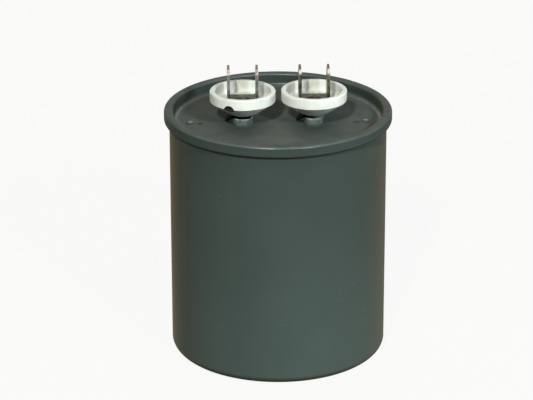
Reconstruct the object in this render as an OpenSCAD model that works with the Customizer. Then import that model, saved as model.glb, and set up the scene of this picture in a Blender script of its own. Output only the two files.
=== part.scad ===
// Round oil-filled AC capacitor: a sealed, painted steel can whose cover is rolled on with a
// double seam, and two cup-shaped porcelain terminals, each with a pair of flat push-on tabs.
// Millimetres, +Z up, origin at the centre of the bottom face, terminals in a row along X.

/* [Can] */
// Outside diameter of the drawn body
body_diameter = 63.5; // [58:0.5:76]
// Height from the bottom face to the top of the rim
can_height = 74.4; // [50:0.2:130]
// Corner radius round the bottom
bottom_corner = 2.7; // [1:0.1:6]
// Thickness of the steel sheet that the can and the cover are pressed from
sheet = 0.5; // [0.4:0.05:0.6]

/* [Rim] */
// Corner radius of the rim towards the recess
rim_inner_corner = 0.8; // [0.7:0.1:1]
// Corner radius of the rim towards the outside
rim_outer_corner = 0.9; // [0.7:0.1:1.1]
// Height over which the two rolled hooks grip each other
hook_overlap = 0.95; // [0.5:0.05:1.5]
// Room left at the end of each rolled hook
hook_play = 0.2; // [0.1:0.05:0.4]
// Clearance between neighbouring layers of the seam
seam_gap = 0.05; // [0.02:0.01:0.1]
// How far the seaming rolls press the can's wall in, behind the rim
seam_pinch = 0.1; // [0.05:0.05:0.2]
// Height over which the wall draws in to that pinch
pinch_run = 1.5; // [1.2:0.1:3]

/* [Cover] */
// Depth of the flat panel below the top of the rim
recess_depth = 3.9; // [3.4:0.1:8]
// Fillet between the recess wall and the panel
panel_fillet = 1.2; // [0.6:0.1:1.8]
// Distance of the row of terminals from the centre of the can, towards the front
terminal_offset = 3; // [0:0.5:6]
// Height of the drawn necks above the panel
neck_height = 2.4; // [1.6:0.1:4]
// Wall of the drawn necks
neck_wall = 0.6; // [0.4:0.05:1]
// Fillet at the foot of each neck
neck_fillet = 0.5; // [0.2:0.1:1]
// Rounding of the neck's upper edge
neck_edge = 0.3; // [0.1:0.05:0.35]
// Diameter of the two embossed pips
pip_diameter = 2.4; // [2:0.1:4]
// Height of the pips above the panel
pip_height = 0.75; // [0.2:0.05:0.9]
// Distance from the recess wall to the centre of each pip, along the row
pip_inset = 5; // [4:0.1:8]
// Distance of the pips from the centre of the can, towards the front
pip_offset = 2; // [0:0.5:6]
// Diameter of the shallow dent on the inner side of each pip
dent_diameter = 2.4; // [1.5:0.1:3]
// Depth of that dent
dent_depth = 0.25; // [0.1:0.05:0.35]
// Distance from the pip's centre to the centre of its dent
dent_distance = 2.8; // [2:0.1:4]

/* [Gaskets] */
// Thickness of the squeezed rubber gasket
gasket_thickness = 1; // [0.8:0.1:2.5]
// How far the gasket stays inside the outer edge of its neck
gasket_inset = 0.15; // [0.05:0.05:0.3]
// Width of the tongue of rubber squeezed out on the left
tongue_width = 3.2; // [2.4:0.1:4]
// How far that tongue reaches beyond the neck
tongue_reach = 2.3; // [1:0.1:2.5]
// How far the tip of that tongue droops below the neck's upper edge
tongue_droop = 1.4; // [0.2:0.1:1.5]
// Thickness of the tongue at its tip
tongue_tip = 0.7; // [0.4:0.1:1]

/* [Bushings] */
// Outside diameter of the porcelain cup
cup_diameter = 19.1; // [16:0.1:24]
// Gap between the two cups
cup_gap = 1.6; // [1:0.1:6]
// Height of the straight outer band
band_height = 3; // [2:0.1:5]
// Height of the rounded underside, from its foot to the band
bowl_height = 4.1; // [2.5:0.1:6]
// Thickness of the cup's wall at the rim
cup_wall = 1.5; // [1:0.1:2.5]
// Depth of the cup's floor below its rim
cup_depth = 3.25; // [1.5:0.05:4]
// Fillet between the floor and the wall of the cup
cup_fillet = 1; // [0.4:0.1:1.4]
// Rounding of the cup's rim
cup_edge = 0.45; // [0.1:0.05:0.5]
// Diameter of the foot on which the cup stands
foot_diameter = 6.8; // [6:0.1:9]
// How much steeper the flare is than a straight line from foot to band, in degrees
flare_lift = 3; // [1:0.5:6]
// Wall of the stem that lines the neck
stem_wall = 0.9; // [0.4:0.05:1.2]
// Clearance between the stem and the neck
stem_gap = 0.1; // [0.05:0.05:0.3]
// Radius of the chip in the lower edge of the left cup
chip_radius = 1.5; // [0.5:0.1:2]
// Place of the chip round the cup, from the front towards the left
chip_angle = 26; // [-60:1:60]
// How far the middle of the chip lies below the band
chip_drop = 0.5; // [0.1:0.05:0.7]

/* [Terminals] */
// Width of the push-on tabs
tab_width = 6.35; // [4.8:0.05:7]
// Thickness of the strip that the tabs are bent from
strip_thickness = 0.8; // [0.5:0.05:1]
// Distance between the middle planes of the two tabs
tab_spread = 8.2; // [7:0.1:9.5]
// Height of the tabs above the floor strip
tab_height = 9.5; // [7:0.1:14]
// Inside radius of the two bends
strip_bend = 0.5; // [0.3:0.05:1]
// Height of the chamfered corners at each tip
tip_rise = 1; // [0.4:0.1:2]
// Run of the chamfered corners across the tab
tip_run = 1.3; // [0.4:0.1:2]
// Lead-in bevel on both faces of each tip
tip_bevel = 0.1; // [0.05:0.05:0.22]
// Diameter of the detent hole in each tab
hole_diameter = 1.8; // [1:0.1:2.4]
// Distance from the tip to the centre of that hole
hole_drop = 4.1; // [3:0.1:5]

/* [Rivets] */
// Diameter of the rivet's shank
rivet_diameter = 2.4; // [1.6:0.1:3]
// Diameter of the domed head
head_diameter = 4.4; // [3.6:0.1:5.5]
// Height of the domed head
head_height = 0.7; // [0.4:0.1:1.2]
// Clearance round the shank
rivet_gap = 0.05; // [0.02:0.01:0.2]

/* [Hidden] */
$fn = 96;

// Sides of the row, along X
LEFT = -1;
RIGHT = 1;

// Cuts run past the faces that they open by this much
through = 1;

// Layers of the double seam, outwards from the recess: the cover's wall, the can's wall,
// the cover's hook, the can's hook and the cover's skirt
body_r = body_diameter / 2;
seam_r = body_r - seam_pinch;
hook_space = sheet + 2 * seam_gap;
wall_r = seam_r - 2 * sheet - seam_gap;
rim_r = seam_r + 3 * sheet + 3 * seam_gap;
crown_in = wall_r + rim_inner_corner;
crown_out = rim_r - rim_outer_corner;
skirt_top = can_height - rim_outer_corner;
hook_bend = hook_space / 2;
can_bend_r = seam_r + hook_bend;
can_bend_z = can_height - 2 * sheet - seam_gap - hook_bend;
hem_bend_r = rim_r - sheet - hook_bend;
hem_bend_z = can_bend_z - hook_overlap - 2 * hook_play;
hem_bottom = hem_bend_z - hook_bend - sheet;
pinch_start = hem_bottom - pinch_run;
can_hook_end = hem_bend_z + hook_play;
cover_hook_end = can_bend_z - hook_play;

// Heights of the stack on the cover
panel_top = can_height - recess_depth;
panel_under = panel_top - sheet;
neck_top = panel_top + neck_height;
foot_z = neck_top + gasket_thickness;
band_z = foot_z + bowl_height;
cup_top = band_z + band_height;
floor_z = cup_top - cup_depth;
strip_top = floor_z + strip_thickness;
tab_top = strip_top + tab_height;

// Radii of the parts that nest on a terminal's axis, from the rivet outwards
rivet_r = rivet_diameter / 2;
bore_r = rivet_r + rivet_gap;
stem_r = bore_r + stem_wall;
neck_in = stem_r + stem_gap;
neck_out = neck_in + neck_wall;
gasket_out = neck_out - gasket_inset;
gasket_in = stem_r + stem_gap;
tongue_r = tongue_width / 2;
tongue_end = neck_out + tongue_reach;
foot_r = foot_diameter / 2;
cup_r = cup_diameter / 2;
cup_inside = cup_r - cup_wall;

// The underside is a straight flare below the band's edge, which runs smoothly into a sphere on
// the axis through the foot's edge
flare = atan2(bowl_height, cup_r - foot_r) + flare_lift;
flare_apex = band_z - cup_r * tan(flare);
foot_rise = foot_z - flare_apex;
foot_reach = foot_rise * foot_rise + foot_r * foot_r;
sphere_rise = (foot_rise + sqrt(pow(foot_rise, 2) - pow(sin(flare), 2) * foot_reach)) / pow(sin(flare), 2);
sphere_z = flare_apex + sphere_rise;
sphere_r = sphere_rise * cos(flare);
flare_r = sphere_r * sin(flare);
flare_z = sphere_z - sphere_r * cos(flare);

// Places along the row
terminal_spacing = cup_diameter + cup_gap;
pip_x = wall_r - pip_inset;
dent_x = pip_x - dent_distance;

// Radius of a sphere from the width and height of the cap that it shows
function cap_radius(width, height) = (width * width / 4 + height * height) / (2 * height);

// One quarter of a bent sheet's section: quadrant 0 is up and outwards, then anticlockwise
module bend(inside, thickness, quadrant) {
    rotate(90 * quadrant)
        intersection() {
            difference() {
                circle(inside + thickness);
                circle(inside);
            }
            square(inside + thickness);
        }
}

// What a rounding takes off a square corner that points up and outwards
module corner_cut(radius) {
    difference() {
        square(radius + through);
        circle(radius);
    }
}

// Places a piece on one terminal's axis
module at_terminal(side) {
    translate([side * terminal_spacing / 2, -terminal_offset, 0])
        children();
}

// Section of the sealed can: a body with a rounded foot, filled up to the underside of the
// cover, and a wall whose upper edge is rolled outwards and down into a hook
module can_profile() {
    square([body_r - bottom_corner, panel_under]);
    translate([0, bottom_corner])
        square([seam_r - sheet, panel_under - bottom_corner]);
    translate([body_r - bottom_corner, bottom_corner])
        bend(0, bottom_corner, 3);
    polygon([
        [seam_r - sheet, bottom_corner],
        [body_r, bottom_corner],
        [body_r, pinch_start],
        [seam_r, hem_bottom],
        [seam_r, can_bend_z],
        [seam_r - sheet, can_bend_z]
    ]);
    translate([can_bend_r, can_bend_z]) {
        bend(hook_bend, sheet, 0);
        bend(hook_bend, sheet, 1);
    }
    translate([seam_r + hook_space, can_hook_end])
        square([sheet, can_bend_z - can_hook_end]);
}

// Section of the pressed cover: panel, recess wall, crown, skirt, hem and the hook that
// turns up behind the can's own hook
module cover_profile() {
    translate([0, panel_under])
        square([wall_r - panel_fillet, sheet]);
    translate([wall_r - panel_fillet, panel_top + panel_fillet])
        bend(panel_fillet, sheet, 3);
    translate([wall_r, panel_top + panel_fillet])
        square([sheet, recess_depth - panel_fillet - rim_inner_corner]);
    translate([crown_in, can_height - rim_inner_corner])
        bend(rim_inner_corner - sheet, sheet, 1);
    translate([crown_in, can_height - sheet])
        square([crown_out - crown_in, sheet]);
    translate([crown_out, skirt_top])
        bend(rim_outer_corner - sheet, sheet, 0);
    translate([rim_r - sheet, hem_bend_z])
        square([sheet, skirt_top - hem_bend_z]);
    translate([hem_bend_r, hem_bend_z]) {
        bend(hook_bend, sheet, 2);
        bend(hook_bend, sheet, 3);
    }
    translate([seam_r + seam_gap, hem_bend_z])
        square([sheet, cover_hook_end - hem_bend_z]);
}

// Section of a neck drawn up from the panel, with its rounded edge and its fillet
module neck_profile() {
    difference() {
        translate([neck_in, panel_under])
            square([neck_wall, neck_top - panel_under]);
        translate([neck_out - neck_edge, neck_top - neck_edge])
            corner_cut(neck_edge);
    }
    translate([neck_out, panel_top])
        difference() {
            square(neck_fillet);
            translate([neck_fillet, neck_fillet])
                circle(neck_fillet);
        }
}

// Half section of a pip, from the panel's underside to its crown
module pip_profile() {
    pip_r = cap_radius(pip_diameter, pip_height);
    intersection() {
        translate([0, panel_top + pip_height - pip_r])
            circle(pip_r);
        translate([0, panel_under])
            square([pip_r, sheet + pip_height]);
    }
}

// The hollow that the punch leaves under a pip
module pip_hollow() {
    pip_r = cap_radius(pip_diameter, pip_height);
    translate([0, 0, panel_top + pip_height - pip_r])
        sphere(pip_r - sheet);
}

// The shallow dent beside a pip
module dent() {
    dent_r = cap_radius(dent_diameter, dent_depth);
    translate([0, 0, panel_top - dent_depth + dent_r])
        sphere(dent_r);
}

// Section of the rubber that is squeezed out, seen from the front
module tongue_profile() {
    tip_z = neck_top - tongue_droop;
    polygon([
        [0, neck_top],
        [0, foot_z],
        [-neck_out, foot_z],
        [-tongue_end, tip_z + tongue_tip],
        [-tongue_end, tip_z],
        [-neck_out, neck_top]
    ]);
}

// Section of the porcelain cup with its stem, bored for the rivet
module bushing_profile() {
    difference() {
        union() {
            intersection() {
                translate([0, sphere_z])
                    circle(sphere_r);
                translate([0, foot_z])
                    square([flare_r, flare_z - foot_z]);
            }
            polygon([
                [0, flare_z],
                [flare_r, flare_z],
                [cup_r, band_z],
                [cup_r, cup_top],
                [0, cup_top]
            ]);
            translate([0, panel_under])
                square([stem_r, floor_z - panel_under]);
        }
        cup_hollow();
        translate([cup_r - cup_edge, cup_top - cup_edge])
            corner_cut(cup_edge);
        translate([cup_inside + cup_edge, cup_top - cup_edge])
            mirror([1, 0])
                corner_cut(cup_edge);
        translate([0, panel_under - through])
            square([bore_r, floor_z - panel_under + 2 * through]);
    }
}

// Half section of the space inside the cup
module cup_hollow() {
    translate([0, floor_z])
        square([cup_inside - cup_fillet, cup_depth + through]);
    translate([0, floor_z + cup_fillet])
        square([cup_inside, cup_depth - cup_fillet + through]);
    translate([cup_inside - cup_fillet, floor_z + cup_fillet])
        circle(cup_fillet);
}

// The strip seen from the front: a floor, two bends and two tabs with bevelled tips
module strip_outline() {
    tab_inner = (tab_spread - strip_thickness) / 2;
    tab_outer = tab_inner + strip_thickness;
    bend_x = tab_inner - strip_bend;
    bend_z = strip_top + strip_bend;
    translate([-bend_x, floor_z])
        square([2 * bend_x, strip_thickness]);
    for (side = [0, 1])
        mirror([side, 0]) {
            translate([bend_x, bend_z])
                bend(strip_bend, strip_thickness, 3);
            polygon([
                [tab_inner, bend_z],
                [tab_outer, bend_z],
                [tab_outer, tab_top - tip_rise],
                [tab_outer - tip_bevel, tab_top],
                [tab_inner + tip_bevel, tab_top],
                [tab_inner, tab_top - tip_rise]
            ]);
        }
}

// The strip seen from the side: the width of a tab with its chamfered tip
module tab_outline() {
    half = tab_width / 2;
    polygon([
        [-half, floor_z],
        [half, floor_z],
        [half, tab_top - tip_rise],
        [half - tip_run, tab_top],
        [tip_run - half, tab_top],
        [-half, tab_top - tip_rise]
    ]);
}

// Sealed can, one solid with the winding and the oil that it holds
module can() {
    color("#47534f")
        rotate_extrude()
            can_profile();
}

// Cover with its two necks and two pips
module cover() {
    color("#4a5552")
        difference() {
            union() {
                rotate_extrude()
                    cover_profile();
                for (side = [LEFT, RIGHT]) {
                    at_terminal(side)
                        rotate_extrude()
                            neck_profile();
                    translate([side * pip_x, -pip_offset, 0])
                        rotate_extrude()
                            pip_profile();
                }
            }
            for (side = [LEFT, RIGHT]) {
                at_terminal(side)
                    translate([0, 0, panel_under - through])
                        cylinder(r = neck_in, h = neck_top - panel_under + 2 * through);
                translate([side * pip_x, -pip_offset, 0])
                    pip_hollow();
                translate([side * dent_x, -pip_offset, 0])
                    dent();
            }
        }
}

// Rubber gasket between a neck and the foot of its bushing, squeezed out on the left
module gasket(side) {
    color("#161616")
        at_terminal(side)
            difference() {
                union() {
                    translate([0, 0, neck_top])
                        cylinder(r = gasket_out, h = gasket_thickness);
                    gasket_tongue();
                }
                translate([0, 0, neck_top - through])
                    cylinder(r = gasket_in, h = gasket_thickness + 2 * through);
            }
}

// Tongue of rubber that leaves the gap over the neck's edge and droops outside it
module gasket_tongue() {
    intersection() {
        translate([tongue_r - tongue_end, 0, neck_top - tongue_droop])
            cylinder(r = tongue_r, h = tongue_droop + gasket_thickness);
        rotate([90, 0, 0])
            linear_extrude(tongue_width, center = true)
                tongue_profile();
    }
}

// Porcelain cup
module bushing(side) {
    color("#eef0ea")
        at_terminal(side)
            rotate_extrude()
                bushing_profile();
}

// Left porcelain cup, with the chip in the lower edge of its band
module chipped_bushing() {
    difference() {
        bushing(LEFT);
        at_terminal(LEFT)
            rotate(-chip_angle)
                translate([0, -cup_r, band_z - chip_drop])
                    rotate([90, 0, 0])
                        sphere(chip_radius);
    }
}

// Tinned strip bent up into two tabs, with a hole for the rivet and one in each tab
module terminal(side) {
    color("#a79f90")
        at_terminal(side)
            difference() {
                intersection() {
                    rotate([90, 0, 0])
                        linear_extrude(tab_width, center = true)
                            strip_outline();
                    rotate([90, 0, 90])
                        linear_extrude(tab_spread + 2 * strip_thickness, center = true)
                            tab_outline();
                }
                translate([0, 0, floor_z - through])
                    cylinder(r = bore_r, h = strip_thickness + 2 * through);
                translate([0, 0, tab_top - hole_drop])
                    rotate([0, 90, 0])
                        cylinder(d = hole_diameter, h = tab_spread + 2 * strip_thickness, center = true);
            }
}

// Rivet that clamps strip, cup and gasket to the cover, with a low domed head
module rivet(side) {
    head_r = cap_radius(head_diameter, head_height);
    color("#b8b2a4")
        at_terminal(side)
            rotate_extrude() {
                translate([0, panel_under])
                    square([rivet_r, strip_top - panel_under]);
                intersection() {
                    translate([0, strip_top + head_height - head_r])
                        circle(head_r);
                    translate([0, strip_top])
                        square([head_diameter, head_height]);
                }
            }
}

can();
cover();
gasket(LEFT);  // left_gasket
gasket(RIGHT);  // right_gasket
chipped_bushing();  // left_bushing
bushing(RIGHT);  // right_bushing
terminal(LEFT);  // left_terminal
terminal(RIGHT);  // right_terminal
rivet(LEFT);  // left_rivet
rivet(RIGHT);  // right_rivet
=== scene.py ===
"""A round oil-filled capacitor: a can and cover in satin enamel, porcelain cups, rubber gaskets and
browned tin tabs, on a pale floor under plain studio light."""

from math import atan, cos, pi, radians, sin
from types import SimpleNamespace

import bpy
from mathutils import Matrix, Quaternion, Vector


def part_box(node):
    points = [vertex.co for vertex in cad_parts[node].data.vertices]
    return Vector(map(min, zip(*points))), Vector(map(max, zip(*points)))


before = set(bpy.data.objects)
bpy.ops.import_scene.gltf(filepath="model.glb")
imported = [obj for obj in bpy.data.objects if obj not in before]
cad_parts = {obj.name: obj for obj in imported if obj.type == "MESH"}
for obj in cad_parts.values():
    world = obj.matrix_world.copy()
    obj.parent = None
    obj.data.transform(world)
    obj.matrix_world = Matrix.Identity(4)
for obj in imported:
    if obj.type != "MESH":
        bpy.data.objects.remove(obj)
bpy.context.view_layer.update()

MM = 0.001

# Cover: its rim, its sunken panel, its necks, and the pip and the dent on the right
RIM_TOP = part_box("cover")[1].z
RIM_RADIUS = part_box("cover")[1].x
RECESS_RADIUS = RIM_RADIUS - 2.7 * MM
HEM_BOTTOM = RIM_TOP - 3.5 * MM
PANEL_TOP = RIM_TOP - 3.9 * MM
NECK_RADIUS = 2.85 * MM
NECK_TOP = PANEL_TOP + 2.4 * MM
PIP_CENTRE = (25.6 * MM, -2.0 * MM, PANEL_TOP + 0.4 * MM)
DENT_CENTRE = (22.8 * MM, -2.0 * MM, PANEL_TOP)

# Terminals: the axis of the right one, and the sizes and heights that both share
TERMINAL_X = 10.35 * MM
TERMINAL_Y = -3.0 * MM
TERMINAL_AXIS = (TERMINAL_X, TERMINAL_Y, 0)
CUP_RADIUS = 9.55 * MM
CUP_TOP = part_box("left_bushing")[1].z
BAND_BOTTOM = CUP_TOP - 3.0 * MM
CUP_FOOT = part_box("left_gasket")[1].z
CUP_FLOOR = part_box("left_terminal")[0].z
TAB_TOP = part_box("left_terminal")[1].z


def linear(code):
    """Linear RGBA from an sRGB hex colour."""
    channels = [int(code[i:i + 2], 16) / 255 for i in (1, 3, 5)]
    return [c / 12.92 if c <= 0.04045 else ((c + 0.055) / 1.055) ** 2.4 for c in channels] + [1.0]


def over(start, end):
    """The span of values over which something comes on, as the inputs of a map range."""
    return {"From Min": start, "From Max": end}


# Nearly all values of a noise texture lie in the wide span, and most in the narrow one
WIDE = over(0.3, 0.7)
NARROW = over(0.35, 0.65)

# A mix node has sockets for each kind of value: these are the places of the colours it mixes
FIRST, SECOND = 6, 7
AS_COLOUR = {"out": 2, "data_type": "RGBA"}


def wire(tree, node, sockets):
    """Sets or links input sockets of a node."""
    for key, value in sockets.items():
        if isinstance(value, bpy.types.NodeSocket):
            tree.links.new(value, node.inputs[key])
        else:
            node.inputs[key].default_value = value


def add(tree, kind, sockets, out=0, **settings):
    """Adds one node with its settings, sets or links its input sockets, and returns an output."""
    node = tree.nodes.new("ShaderNode" + kind)
    for name, value in settings.items():
        setattr(node, name, value)
    wire(tree, node, sockets)
    return node.outputs[out]


def start_material(name):
    """A new material, its node tree, its shader, and each spot's place in the frame."""
    made = bpy.data.materials.new(name)
    made.use_nodes = True
    tree = made.node_tree
    return made, tree, tree.nodes["Principled BSDF"], add(tree, "TexCoord", {}, out="Object")


def scattered_dots(tree, place, cell, chance, edge, core):
    """Round dots, one in some of the cells of an uneven grid, by the chance that a cell has one.
    A dot fades from its core to its edge, which are given as parts of a cell."""
    cells = add(tree, "TexVoronoi", {"Vector": place, "Scale": 1 / cell}).node.outputs
    draw = add(tree, "SeparateColor", {0: cells["Color"]})
    chosen = add(tree, "Math", {0: draw, 1: 1 - chance}, operation="GREATER_THAN")
    dot = add(tree, "MapRange", {"Value": cells["Distance"], **over(edge, core)})
    return add(tree, "Math", {0: dot, 1: chosen}, operation="MULTIPLY")


# Enamel: sizes of its patterns
CLOUD_SIZE = 30 * MM
PATCH_SIZE = 5 * MM
BLOTCH_SIZE = 1.5 * MM
NIB_CELL = 3.5 * MM
NIB_HEIGHT = 0.03 * MM
SCUFF_HEIGHT = 0.06 * MM
PEEL_WAVE = 1.4 * MM
PEEL_DEPTH = 0.008 * MM

# Dust: what lies level enough, a paler front patch, and the cups' shelter, partly painted shade of the cups
LEVEL_FACING = over(0.7, 0.98)
PALE_PATCH_CENTRE = (-2.0 * MM, -16.5 * MM, PANEL_TOP)
PALE_PATCH_REACH = over(9 * MM, 2 * MM)
CUP_SHADE_SQUEEZE = 1.4
CUP_SHADE_REACH = over(5 * MM, 15 * MM)

# Rubbing and painted highlights: the rim's crown, its shoulders, their reach to front and back, the pips
CROWN_HEIGHT = over(RIM_TOP - 1.2 * MM, RIM_TOP - 0.9 * MM)
SHOULDER_TOP_FACING = over(0.93, 0.8)
SHOULDER_SIDE_FACING = over(0.3, 0.5)
HIGHLIGHT_DEPTH = over(12 * MM, 30 * MM)
PIP_REACH = over(1.0 * MM, 0.4 * MM)

# Scuffs: the necks, from the panel up, and their lips, where the paler paint is also a painted highlight
NECK_REACH = over(NECK_RADIUS + 0.3 * MM, NECK_RADIUS + 0.1 * MM)
NECK_HEIGHT = over(PANEL_TOP + 0.2 * MM, PANEL_TOP + 0.8 * MM)
LIP_HIGHLIGHT_HEIGHT = over(NECK_TOP - 0.7 * MM, NECK_TOP - 0.3 * MM)

# Pooled paint: the corner round the panel, inside the recess wall
POOL_HEIGHT = over(PANEL_TOP + 1.6 * MM, PANEL_TOP)
POOL_RADIUS = over(RECESS_RADIUS - 2.2 * MM, RECESS_RADIUS - 0.4 * MM)
POOL_LIMIT = RECESS_RADIUS + 0.1 * MM

# Painted shade: the dents, the crevice under the rim, outside the recess wall, and the bottom corner
DENT_REACH = over(1.3 * MM, 0.5 * MM)
CREVICE_REACH = over(0.6 * MM, 0.15 * MM)
CREVICE_LIMIT = RECESS_RADIUS + 0.7 * MM
BOTTOM_HEIGHT = over(2.3 * MM, 0.9 * MM)


def enamel_places(tree, place):
    """What the enamel's marks are drawn from: where each spot lies, also with the left half folded onto
    the right, its offset from the terminal's axis there, how far it faces up, and patches of wear."""
    xyz = add(tree, "SeparateXYZ", {0: place}).node.outputs
    side = add(tree, "Math", {0: xyz["X"]}, operation="ABSOLUTE")
    folded = add(tree, "CombineXYZ", {"X": side, "Y": xyz["Y"], "Z": xyz["Z"]})
    flat = add(tree, "VectorMath", {0: place, 1: (1, 1, 0)}, operation="MULTIPLY")
    facing = add(tree, "NewGeometry", {}, out="Normal")
    return SimpleNamespace(
        place=place,
        folded=folded,
        offset=add(tree, "VectorMath", {0: folded, 1: TERMINAL_AXIS}, operation="SUBTRACT"),
        height=xyz["Z"],
        depth=add(tree, "Math", {0: xyz["Y"]}, operation="ABSOLUTE"),
        radius=add(tree, "VectorMath", {0: flat}, out="Value", operation="LENGTH"),
        upward=add(tree, "SeparateXYZ", {0: facing}, out="Z"),
        patch=add(tree, "TexNoise", {"Vector": place, "Scale": 1 / PATCH_SIZE, "Detail": 4.0}),
    )


def dust_and_cup_shade(tree, at):
    """Patchy dust on what faces up, heavier in a paler patch at the front of the panel, and thinner under
    and around the cups, which reaches farther to the front and back than to the sides: partly the cups'
    shelter from dust and partly painted shade of the cups."""
    dust_and_shade = add(tree, "MapRange", {"Value": at.patch, **WIDE, "To Min": 0.35, "To Max": 0.6})
    reach = add(tree, "VectorMath", {0: at.place, 1: PALE_PATCH_CENTRE}, out="Value", operation="DISTANCE")
    pale_patch = add(tree, "MapRange", {"Value": reach, **PALE_PATCH_REACH, "To Max": 0.14})
    dust_and_shade = add(tree, "Math", {0: dust_and_shade, 1: pale_patch}, operation="ADD")
    lying = add(tree, "MapRange", {"Value": at.upward, **LEVEL_FACING})
    reach = add(tree, "VectorMath", {0: at.offset, 1: (CUP_SHADE_SQUEEZE, 1, 0)}, operation="MULTIPLY")
    reach = add(tree, "VectorMath", {0: reach}, out="Value", operation="LENGTH")
    out_of_cup_shade = add(tree, "MapRange", {"Value": reach, **CUP_SHADE_REACH, "To Min": 0.15, "To Max": 1.15})
    for limit in (lying, out_of_cup_shade):
        dust_and_shade = add(tree, "Math", {0: dust_and_shade, 1: limit}, operation="MULTIPLY")
    return dust_and_shade


def rubbed_and_highlit_paint(tree, at, wear):
    """Rubbing on both shoulders of the rim, where it turns from the top to the sides, and on the crowns of
    the pips: partly wear and partly painted highlights, which is why it is most at the front and back."""
    crown = add(tree, "MapRange", {"Value": at.height, **CROWN_HEIGHT})
    off_side = add(tree, "MapRange", {"Value": at.upward, **SHOULDER_SIDE_FACING})
    off_top = add(tree, "MapRange", {"Value": at.upward, **SHOULDER_TOP_FACING})
    highlight_reach = add(tree, "MapRange", {"Value": at.depth, **HIGHLIGHT_DEPTH, "To Min": 0.15, "To Max": 1.0})
    rubbed_and_highlit = wear
    for limit in (crown, off_side, off_top, highlight_reach):
        rubbed_and_highlit = add(tree, "Math", {0: rubbed_and_highlit, 1: limit}, operation="MULTIPLY")
    reach = add(tree, "VectorMath", {0: at.folded, 1: PIP_CENTRE}, out="Value", operation="DISTANCE")
    pip = add(tree, "MapRange", {"Value": reach, **PIP_REACH, "To Max": 0.6})
    return add(tree, "Math", {0: rubbed_and_highlit, 1: pip}, operation="MAXIMUM")


def scuffed_and_highlit_necks(tree, at):
    """Scuffs on the necks, in blotches, most along the lip, where they also paint the lip's highlight."""
    blotch = add(tree, "TexNoise", {"Vector": at.place, "Scale": 1 / BLOTCH_SIZE, "Detail": 2.0})
    scuff_and_highlight = add(tree, "MapRange", {"Value": blotch, **NARROW, "To Min": 0.25, "To Max": 0.9})
    reach = add(tree, "VectorMath", {0: at.offset, 1: (1, 1, 0)}, operation="MULTIPLY")
    reach = add(tree, "VectorMath", {0: reach}, out="Value", operation="LENGTH")
    neck = add(tree, "MapRange", {"Value": reach, **NECK_REACH})
    wall = add(tree, "MapRange", {"Value": at.height, **NECK_HEIGHT, "To Max": 0.4})
    lip_highlight = add(tree, "MapRange", {"Value": at.height, **LIP_HIGHLIGHT_HEIGHT, "To Max": 0.6})
    exposed = add(tree, "Math", {0: wall, 1: lip_highlight}, operation="ADD")
    for limit in (neck, exposed):
        scuff_and_highlight = add(tree, "Math", {0: scuff_and_highlight, 1: limit}, operation="MULTIPLY")
    return scuff_and_highlight


def pooled_paint(tree, at, wear):
    """Paint and dust in the corner between the panel and the recess wall, where the film pooled."""
    low = add(tree, "MapRange", {"Value": at.height, **POOL_HEIGHT})
    outer = add(tree, "MapRange", {"Value": at.radius, **POOL_RADIUS})
    inside = add(tree, "Math", {0: at.radius, 1: POOL_LIMIT}, operation="LESS_THAN")
    pooled = wear
    for limit in (low, outer, inside):
        pooled = add(tree, "Math", {0: pooled, 1: limit}, operation="MULTIPLY")
    return pooled


def painted_crevice_shade(tree, at):
    """Painted shade in the dents, a painted shadow in the crevice under the rim, and a painted contact
    shadow along the bottom corner.
    """
    reach = add(tree, "VectorMath", {0: at.folded, 1: DENT_CENTRE}, out="Value", operation="DISTANCE")
    dent = add(tree, "MapRange", {"Value": reach, **DENT_REACH, "To Max": 0.5})
    off_hem = add(tree, "Math", {0: at.height, 1: HEM_BOTTOM}, operation="SUBTRACT")
    off_hem = add(tree, "Math", {0: off_hem}, operation="ABSOLUTE")
    crevice = add(tree, "MapRange", {"Value": off_hem, **CREVICE_REACH, "To Max": 0.95})
    outside = add(tree, "Math", {0: at.radius, 1: CREVICE_LIMIT}, operation="GREATER_THAN")
    crevice = add(tree, "Math", {0: crevice, 1: outside}, operation="MULTIPLY")
    bottom = add(tree, "MapRange", {"Value": at.height, **BOTTOM_HEIGHT, "To Max": 0.85})
    painted_shade = add(tree, "Math", {0: dent, 1: crevice}, operation="MAXIMUM")
    return add(tree, "Math", {0: painted_shade, 1: bottom}, operation="MAXIMUM")


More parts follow.
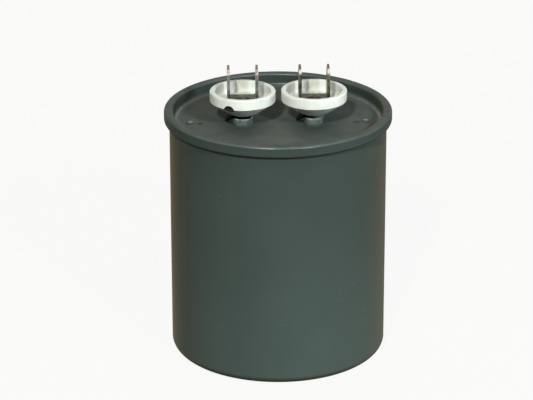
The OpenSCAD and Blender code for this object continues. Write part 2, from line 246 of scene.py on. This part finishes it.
def satin_enamel(name, skin_roughness, painted_warm_sheen):
    """Stoving enamel sprayed on drawn steel: a satin grey-green film with a faint orange peel and a few
    nibs of dust. It is dull with dust where it faces up, darker under and around the cups, partly their
    shelter from dust and partly painted shade, and rubbed paler on the rim, the pips and the necks, which
    also paints highlights on them. Painted shade darkens it under the rim, in the dents, along the bottom
    corner and towards the top. A warm sheen where the walls turn away from the eye is a painted
    reflection of a warm room."""
    made, tree, shader, place = start_material(name)
    at = enamel_places(tree, place)
    wear = add(tree, "MapRange", {"Value": at.patch, **WIDE, "To Min": 0.14, "To Max": 0.22})
    dust_and_shade = dust_and_cup_shade(tree, at)
    rubbed_and_highlit = rubbed_and_highlit_paint(tree, at, wear)
    scuff_and_highlight = scuffed_and_highlit_necks(tree, at)
    pooled = pooled_paint(tree, at, wear)
    painted_shade = painted_crevice_shade(tree, at)
    nib = scattered_dots(tree, place, NIB_CELL, chance=0.1, edge=0.075, core=0.03)
    faint_nib = add(tree, "Math", {0: nib, 1: 0.35}, operation="MULTIPLY")

    # Clouds where the spray lay thicker or thinner; painted shade, darker towards the top, paler low down
    cloud = add(tree, "TexNoise", {"Vector": place, "Scale": 1 / CLOUD_SIZE, "Detail": 3.0})
    tone = add(tree, "MapRange", {"Value": cloud, **WIDE, "To Min": 0.43, "To Max": 0.57})
    painted_height_shade = add(tree, "MapRange", {"Value": at.height, **over(RIM_TOP, 0.0), "To Min": -0.3, "To Max": 0.04})
    tone = add(tree, "Math", {0: tone, 1: painted_height_shade}, operation="ADD")
    tone = add(tree, "MapRange", {"Value": tone, **over(0.1, 0.9)})
    colour = add(tree, "Mix", {0: tone, FIRST: linear("#35403e"), SECOND: linear("#516261")}, **AS_COLOUR)
    # Marks: dust and painted cup shade, rubbing and scuffs with painted highlights, pooled paint, painted
    # shade
    marks = (
        (dust_and_shade, "#656d6b"),
        (rubbed_and_highlit, "#737c77"),
        (scuff_and_highlight, "#9aa7a1"),
        (pooled, "#454c47"),
        (painted_shade, "#151914"),
        (faint_nib, "#8d948f"),
    )
    for share, code in marks:
        colour = add(tree, "Mix", {0: share, FIRST: colour, SECOND: linear(code)}, **AS_COLOUR)

    # Flat film under a thin skin of gloss, thinner under dust and painted shade, thicker where rubbed or
    # pooled
    dull = add(tree, "MapRange", {"Value": cloud, **WIDE, "To Min": 0.55, "To Max": 0.7})
    skin = add(tree, "MapRange", {"Value": cloud, **WIDE, "To Min": 0.03, "To Max": 0.02})
    for share, change in ((dust_and_shade, -0.02), (rubbed_and_highlit, 5.0), (pooled, 6.0), (scuff_and_highlight, 0.5), (painted_shade, -0.2)):
        skin = add(tree, "Math", {0: share, 1: change, 2: skin}, operation="MULTIPLY_ADD")
    skin = add(tree, "Clamp", {0: skin})

    # Orange peel, with the nibs and the scuffs standing on it
    peel = add(tree, "TexNoise", {"Vector": place, "Scale": 1 / PEEL_WAVE, "Detail": 2.0})
    bumps = add(tree, "Bump", {"Height": peel, "Distance": PEEL_DEPTH, "Strength": 1.0})
    for mark, rise in ((nib, NIB_HEIGHT), (scuff_and_highlight, SCUFF_HEIGHT)):
        bumps = add(tree, "Bump", {"Height": mark, "Distance": rise, "Strength": 1.0, "Normal": bumps})
    wire(tree, shader, {
        "Base Color": colour,
        "Metallic": 0.0,
        "IOR": 1.5,
        "Specular IOR Level": 0.01,
        "Roughness": dull,
        "Coat Weight": skin,
        "Coat Roughness": skin_roughness,
        # Painted reflection: a warm sheen that stands in for a warm room seen edge on
        "Sheen Weight": painted_warm_sheen,
        "Sheen Roughness": 0.4,
        "Sheen Tint": linear("#cfa03a"),
        "Normal": bumps,
    })
    return made


# Porcelain: sizes of its patterns, and where the painted shade of the underside comes on
MOTTLE_SIZE = 4 * MM
PINHOLE_CELL = 2.5 * MM
PINHOLE_DEPTH = 0.03 * MM
GLAZE_WAVE = 3 * MM
GLAZE_DEPTH = 0.01 * MM
UNDERSIDE_SHADE_HEIGHT = over(BAND_BOTTOM - 0.1 * MM, CUP_FOOT)
UNDERSIDE_SHADE_PATCHES = over(0.2, 0.7)

# Chip in the lower edge of the left cup's band, and the grit of the bare body in it
CHIP_RADIUS = 1.6 * MM
CHIP_REACH = over(CHIP_RADIUS + 0.15 * MM, CHIP_RADIUS)
CHIP_ANGLE = radians(26)
CHIP_CENTRE = (
    -TERMINAL_X - CUP_RADIUS * sin(CHIP_ANGLE),
    TERMINAL_Y - CUP_RADIUS * cos(CHIP_ANGLE),
    BAND_BOTTOM - 0.5 * MM,
)
GRIT_SIZE = 0.5 * MM


def glazed_porcelain(name, shade_code, chip=None):
    """Pressed porcelain under a clear glaze: white, faintly mottled, with a pin-hole here and there, and
    with painted grey-green shade towards the foot, tinted as by light bounced from the cover. Inside a
    chip its bare body is dark."""
    made, tree, shader, place = start_material(name)
    height = add(tree, "SeparateXYZ", {0: place}, out="Z")

    # Mottle of the body, seen through the glaze
    mottle = add(tree, "TexNoise", {"Vector": place, "Scale": 1 / MOTTLE_SIZE, "Detail": 4.0})
    tone = add(tree, "MapRange", {"Value": mottle, **NARROW})
    colour = add(tree, "Mix", {0: tone, FIRST: linear("#e0e9e4"), SECOND: linear("#ebf3ef")}, **AS_COLOUR)

    # Painted grey-green shade and bounce light, thickest at the foot, and pin-holes in the glaze
    grey_green_tint = add(tree, "MapRange", {"Value": height, **UNDERSIDE_SHADE_HEIGHT, "To Max": 0.6})
    tint_patches = add(tree, "MapRange", {"Value": mottle, **UNDERSIDE_SHADE_PATCHES, "To Min": 0.5, "To Max": 1.0})
    grey_green_tint = add(tree, "Math", {0: grey_green_tint, 1: tint_patches}, operation="MULTIPLY")
    pinhole = scattered_dots(tree, place, PINHOLE_CELL, chance=0.12, edge=0.09, core=0.05)
    faint_hole = add(tree, "Math", {0: pinhole, 1: 0.5}, operation="MULTIPLY")
    for share, code in ((grey_green_tint, shade_code), (faint_hole, "#5d5a50")):
        colour = add(tree, "Mix", {0: share, FIRST: colour, SECOND: linear(code)}, **AS_COLOUR)
    dull = add(tree, "MapRange", {"Value": mottle, **WIDE, "To Min": 0.22, "To Max": 0.34})

    if chip:
        # Bare broken body inside the chip, dark with oil and paint
        reach = add(tree, "VectorMath", {0: place, 1: chip}, out="Value", operation="DISTANCE")
        broken = add(tree, "MapRange", {"Value": reach, **CHIP_REACH})
        grit = add(tree, "TexNoise", {"Vector": place, "Scale": 1 / GRIT_SIZE, "Detail": 3.0})
        bare = add(tree, "Mix", {0: grit, FIRST: linear("#141814"), SECOND: linear("#2e342e")}, **AS_COLOUR)
        colour = add(tree, "Mix", {0: broken, FIRST: colour, SECOND: bare}, **AS_COLOUR)
        dull = add(tree, "Math", {0: broken, 1: 0.4, 2: dull}, operation="MULTIPLY_ADD")

    # Slow waves of the glaze, with the pin-holes sunk in it
    wave = add(tree, "TexNoise", {"Vector": place, "Scale": 1 / GLAZE_WAVE, "Detail": 1.0})
    bumps = add(tree, "Bump", {"Height": wave, "Distance": GLAZE_DEPTH, "Strength": 1.0})
    bumps = add(tree, "Bump", {"Height": pinhole, "Distance": -PINHOLE_DEPTH, "Strength": 1.0,
                               "Normal": bumps})
    wire(tree, shader, {
        "Base Color": colour,
        "Metallic": 0.0,
        "IOR": 1.5,
        "Specular IOR Level": 0.25,
        "Roughness": dull,
        "Normal": bumps,
    })
    return made


# Rubber: sizes of its bloom, and where the right gasket turns paler grey-green, from near its middle
BLOOM_SIZE = 0.8 * MM
BLOOM_DEPTH = 0.02 * MM
PALE_SIDE = over(TERMINAL_X - 0.5 * MM, TERMINAL_X + 1.0 * MM)


def moulded_rubber(name, pale_side=None):
    """Black nitrile, punched from moulded sheet: matt, with a grey bloom of dust, and paler grey-green on
    the right where a span for it is given."""
    made, tree, shader, place = start_material(name)
    bloom = add(tree, "TexNoise", {"Vector": place, "Scale": 1 / BLOOM_SIZE, "Detail": 4.0})
    colour = add(tree, "Mix", {0: bloom, FIRST: linear("#060606"), SECOND: linear("#101110")}, **AS_COLOUR)
    if pale_side:
        across = add(tree, "SeparateXYZ", {0: place}, out="X")
        grey_green_tint = add(tree, "MapRange", {"Value": across, **pale_side, "To Max": 0.8})
        colour = add(tree, "Mix", {0: grey_green_tint, FIRST: colour, SECOND: linear("#7f8c87")}, **AS_COLOUR)
    wire(tree, shader, {
        "Base Color": colour,
        "Metallic": 0.0,
        "IOR": 1.52,
        "Specular IOR Level": 0.05,
        "Roughness": add(tree, "MapRange", {"Value": bloom, "To Min": 0.7, "To Max": 0.9}),
        "Normal": add(tree, "Bump", {"Height": bloom, "Distance": BLOOM_DEPTH, "Strength": 1.0}),
    })
    return made


# Tin: sizes of its stains and scratches, which are drawn out along the tabs
STAIN_WIDTH = 1.2 * MM
STAIN_STRETCH = 2
SCRATCH_SPACING = 0.15 * MM
SCRATCH_STRETCH = 20
SCRATCH_DEPTH = 0.01 * MM

# Tin: the floor strips, darker down in the cups, the tips with a painted dark reflection, and painted
# glints on the corners, broken by stains
SUNK_HEIGHT = over(CUP_TOP, CUP_FLOOR + 0.8 * MM)
TIP_HEIGHT = over(TAB_TOP - 1.2 * MM, TAB_TOP - 0.8 * MM)
CORNER_HEIGHT = over(TAB_TOP - 1.7 * MM, TAB_TOP - 1.2 * MM)
CORNER_ASIDE = over(1.9 * MM, 2.3 * MM)
GLINT_STAIN = over(0.3, 0.45)


def browned_tin(name, dark_code, pale_code):
    """Tin plate on brass strip, gone brown with age: dull grey-brown with darker stains that run up
    the tabs and fine scratches along them from receptacles. It is darker down in the cups, with a
    painted dark reflection on the tips and painted glints on the corners."""
    made, tree, shader, place = start_material(name)
    xyz = add(tree, "SeparateXYZ", {0: place}).node.outputs

    # Stains that run up the tabs
    drawn = add(tree, "VectorMath", {0: place, 1: (1, 1, 1 / STAIN_STRETCH)}, operation="MULTIPLY")
    stain = add(tree, "TexNoise", {"Vector": drawn, "Scale": 1 / STAIN_WIDTH, "Detail": 5.0})
    tone = add(tree, "MapRange", {"Value": stain, **NARROW})
    colour = add(tree, "Mix", {0: tone, FIRST: linear(dark_code), SECOND: linear(pale_code)}, **AS_COLOUR)

    # Darker down in the cups, a painted dark reflection on the tips, and painted glints on the corners
    sunk = add(tree, "MapRange", {"Value": xyz["Z"], **SUNK_HEIGHT, "To Max": 0.85})
    painted_dark_tip = add(tree, "MapRange", {"Value": xyz["Z"], **TIP_HEIGHT, "To Max": 0.6})
    upper = add(tree, "MapRange", {"Value": xyz["Z"], **CORNER_HEIGHT})
    aside = add(tree, "Math", {0: xyz["Y"], 1: TERMINAL_Y}, operation="SUBTRACT")
    aside = add(tree, "Math", {0: aside}, operation="ABSOLUTE")
    corner = add(tree, "MapRange", {"Value": aside, **CORNER_ASIDE})
    painted_glint = add(tree, "MapRange", {"Value": stain, **GLINT_STAIN})
    for limit in (upper, corner):
        painted_glint = add(tree, "Math", {0: painted_glint, 1: limit}, operation="MULTIPLY")
    for share, code in ((sunk, "#3a342a"), (painted_dark_tip, "#4b4238"), (painted_glint, "#e4ded2")):
        colour = add(tree, "Mix", {0: share, FIRST: colour, SECOND: linear(code)}, **AS_COLOUR)

    # Scratches along the tabs
    drawn = add(tree, "VectorMath", {0: place, 1: (1, 1, 1 / SCRATCH_STRETCH)}, operation="MULTIPLY")
    scratch = add(tree, "TexNoise", {"Vector": drawn, "Scale": 1 / SCRATCH_SPACING, "Detail": 2.0})
    wire(tree, shader, {
        "Base Color": colour,
        "Metallic": 1.0,
        "Roughness": add(tree, "MapRange", {"Value": stain, **WIDE, "To Min": 0.5, "To Max": 0.3}),
        "Normal": add(tree, "Bump", {"Height": scratch, "Distance": SCRATCH_DEPTH, "Strength": 0.6}),
    })
    return made


def dress(made, *nodes):
    """Gives one material to CAD nodes."""
    for name in nodes:
        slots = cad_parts[name].data.materials
        slots.clear()
        slots.append(made)


dress(satin_enamel("grey_green_satin_enamel", skin_roughness=0.4, painted_warm_sheen=0.2), "can")
dress(satin_enamel("grey_green_handled_enamel", skin_roughness=0.3, painted_warm_sheen=0.07), "cover")
# The second colour is each cup's painted grey-green underside shade
dress(glazed_porcelain("white_glazed_porcelain", "#95a09b"), "right_bushing")
dress(glazed_porcelain("chipped_glazed_porcelain", "#757d74", CHIP_CENTRE), "left_bushing")
dress(moulded_rubber("black_nitrile_rubber"), "left_gasket")
dress(moulded_rubber("pale_sided_nitrile_rubber", PALE_SIDE), "right_gasket")
dress(browned_tin("browned_tin_plate", "#55534a", "#a09d8f"), "left_terminal", "left_rivet")
dress(browned_tin("darkened_tin_plate", "#3f3e30", "#85826e"), "right_terminal", "right_rivet")


# Camera, fitted to the photograph's frame of 533 by 400 pixels
FRAME_PIXELS = 533
FOCAL_PIXELS = 2671.5
EYE_DISTANCE = 792.8 * MM
EYE_HEIGHT = radians(22.24)
EYE_TURN = radians(-2)
AIM = Vector((0, 0, 37.2 * MM))
AIM_RIGHT_PIXELS = 11.5
AIM_DOWN_PIXELS = 25.61


def around(azimuth, elevation, distance):
    """A place at a distance from the aim, by its angles from the front."""
    return AIM + distance * Vector(
        (sin(azimuth) * cos(elevation), -cos(azimuth) * cos(elevation), sin(elevation)))


camera = bpy.data.cameras.new("camera")
camera.sensor_width = 36
camera.lens = FOCAL_PIXELS / FRAME_PIXELS * camera.sensor_width
eye = bpy.data.objects.new("camera", camera)
eye.location = around(EYE_TURN, EYE_HEIGHT, EYE_DISTANCE)
eye.rotation_mode = "QUATERNION"
eye.rotation_quaternion = (
    (AIM - eye.location).to_track_quat("-Z", "Y")
    @ Quaternion((0, 1, 0), atan(AIM_RIGHT_PIXELS / FOCAL_PIXELS))
    @ Quaternion((1, 0, 0), atan(AIM_DOWN_PIXELS / FOCAL_PIXELS))
)
bpy.context.scene.collection.objects.link(eye)
bpy.context.scene.camera = eye


def lamp(name, azimuth, elevation, distance, size, level, colour, glints=True):
    """A soft box that lights a white card facing it to the given level, with or without glints of
    its own in the object."""
    light = bpy.data.lights.new(name, "AREA")
    light.shape = "RECTANGLE"
    light.size, light.size_y = size
    light.energy = level * pi ** 2 * distance ** 2
    light.color = linear(colour)[:3]
    box = bpy.data.objects.new(name, light)
    box.visible_glossy = glints
    box.location = around(radians(azimuth), radians(elevation), distance)
    box.rotation_mode = "QUATERNION"
    box.rotation_quaternion = (AIM - box.location).to_track_quat("-Z", "Y")
    bpy.context.scene.collection.objects.link(box)


lamp("key", azimuth=-13, elevation=36, distance=1.3, size=(0.08, 0.08), level=0.62, colour="#fff9ee")
lamp("right_fill", azimuth=29, elevation=31, distance=1.3, size=(0.12, 0.12), level=0.49,
     colour="#e9f5ff")
lamp("right_side", azimuth=70, elevation=6, distance=1.2, size=(0.4, 0.2), level=0.26,
     colour="#fff6ea", glints=False)
lamp("overhead", azimuth=18, elevation=60, distance=1.3, size=(0.6, 0.3), level=0.09,
     colour="#ffe0b8", glints=False)
for name, azimuth in (("left_back", -160), ("right_back", 160)):
    lamp(name, azimuth, elevation=6, distance=1.2, size=(0.7, 0.3), level=0.5,
         colour="#f6faff", glints=False)


def seen(tree):
    """1 for rays that show the background: from the camera, in reflections and through glass."""
    rays = add(tree, "LightPath", {}).node.outputs
    shown = add(tree, "Math", {0: rays["Is Camera Ray"], 1: rays["Is Glossy Ray"]}, operation="MAXIMUM")
    return add(tree, "Math", {0: shown, 1: rays["Is Transmission Ray"]}, operation="MAXIMUM")


# White background, and a dim warm room for the light that comes from all round
world = bpy.data.worlds.new("studio")
bpy.context.scene.world = world
world.use_nodes = True
sky_tree = world.node_tree
sky_tree.nodes.clear()
white = add(sky_tree, "Background", {"Color": linear("#ffffff"), "Strength": 1.0})
room = add(sky_tree, "Background", {"Color": linear("#e2d4b4"), "Strength": 0.1})
sky = add(sky_tree, "MixShader", {0: seen(sky_tree), 1: room, 2: white})
wire(sky_tree, sky_tree.nodes.new("ShaderNodeOutputWorld"), {"Surface": sky})

# Paper floor that shows as white as the background, but for the share that keeps a soft shadow
FLOOR_HALF = 3.0
FLOOR_CORNERS = [(x * FLOOR_HALF, y * FLOOR_HALF, 0) for x, y in ((-1, -1), (1, -1), (1, 1), (-1, 1))]
WHITE_SHARE = 0.92
paper_material = bpy.data.materials.new("pale_paper")
paper_material.use_nodes = True
paper_tree = paper_material.node_tree
paper_tree.nodes.clear()
paper = add(paper_tree, "BsdfDiffuse", {"Color": linear("#c6c0b4")})
glow = add(paper_tree, "Emission", {"Color": linear("#ffffff"), "Strength": 1.0})
share = add(paper_tree, "Math", {0: seen(paper_tree), 1: WHITE_SHARE}, operation="MULTIPLY")
paper = add(paper_tree, "MixShader", {0: share, 1: paper, 2: glow})
wire(paper_tree, paper_tree.nodes.new("ShaderNodeOutputMaterial"), {"Surface": paper})
floor_mesh = bpy.data.meshes.new("floor")
floor_mesh.from_pydata(FLOOR_CORNERS, [], [(0, 1, 2, 3)])
floor_mesh.materials.append(paper_material)
floor = bpy.data.objects.new("floor", floor_mesh)
bpy.context.scene.collection.objects.link(floor)

bpy.context.scene.view_settings.view_transform = "Standard"
